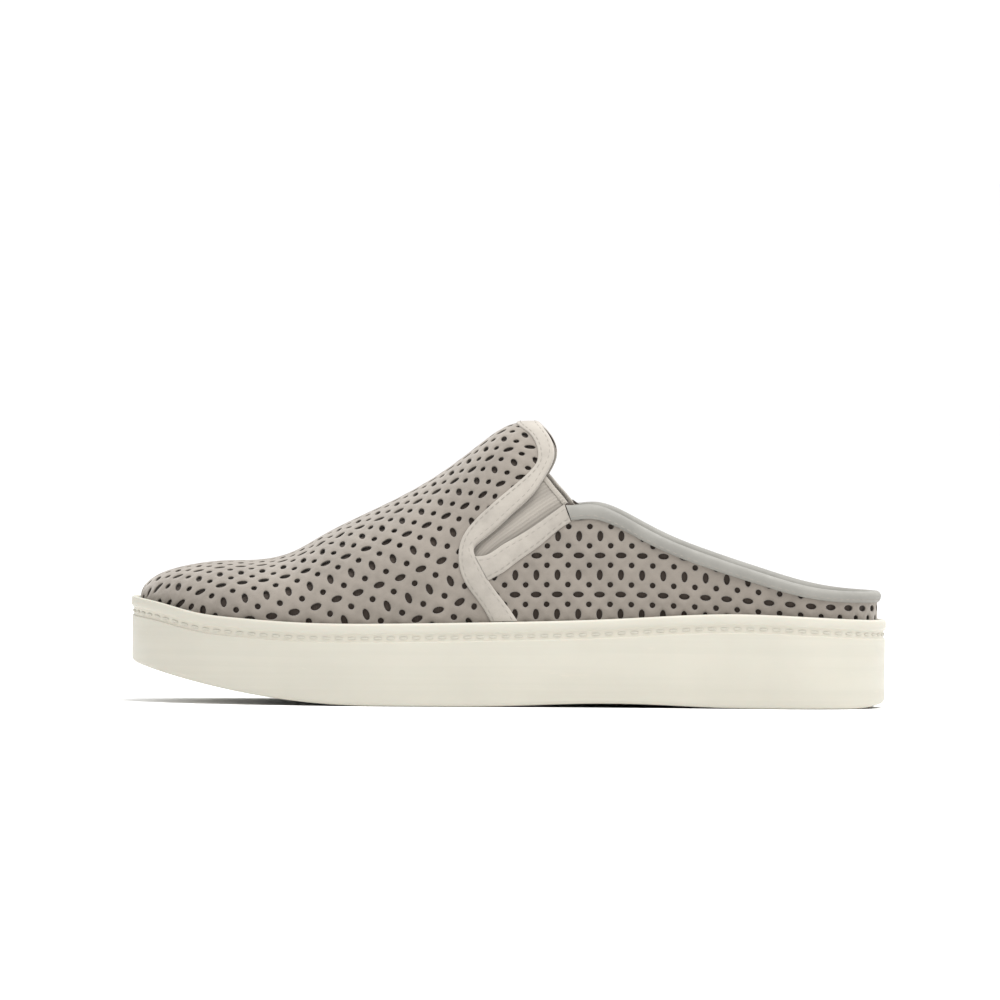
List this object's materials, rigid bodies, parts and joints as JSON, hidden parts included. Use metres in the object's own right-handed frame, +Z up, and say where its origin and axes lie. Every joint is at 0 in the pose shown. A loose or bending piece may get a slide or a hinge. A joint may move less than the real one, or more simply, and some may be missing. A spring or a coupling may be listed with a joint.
{
  "type": "slip-on sneaker mule",
  "caption": "Backless slip-on sneaker for a left foot: perforated suede upper with elastic gores at the sides, bound throat and low heel collar on a cream rubber cup sole.",
  "frame": {"origin": "on the floor under the middle of the shoe's box", "axes": "+X towards the heel, -X towards the toe, -Y the outer side of the foot, +Z up"},
  "size_m": [0.27, 0.0972, 0.1024],
  "materials": {
    "cream_rubber": "satin moulded rubber",
    "taupe_suede": "punched suede",
    "pale_binding": "smooth pale suede",
    "grey_elastic": "ribbed elastic webbing",
    "collar_leather": "soft matt leather",
    "footbed_fabric": "brushed fabric over foam"
  },
  "bodies": {
    "root": {"outsole": "cream_rubber", "insole": "footbed_fabric", "upper": "taupe_suede", "gore_lateral": "grey_elastic", "gore_medial": "grey_elastic", "vamp_trim": "pale_binding", "quarter_trim_lateral": "pale_binding", "quarter_trim_medial": "pale_binding", "collar_band": "collar_leather"}
  },
  "joints": []
}
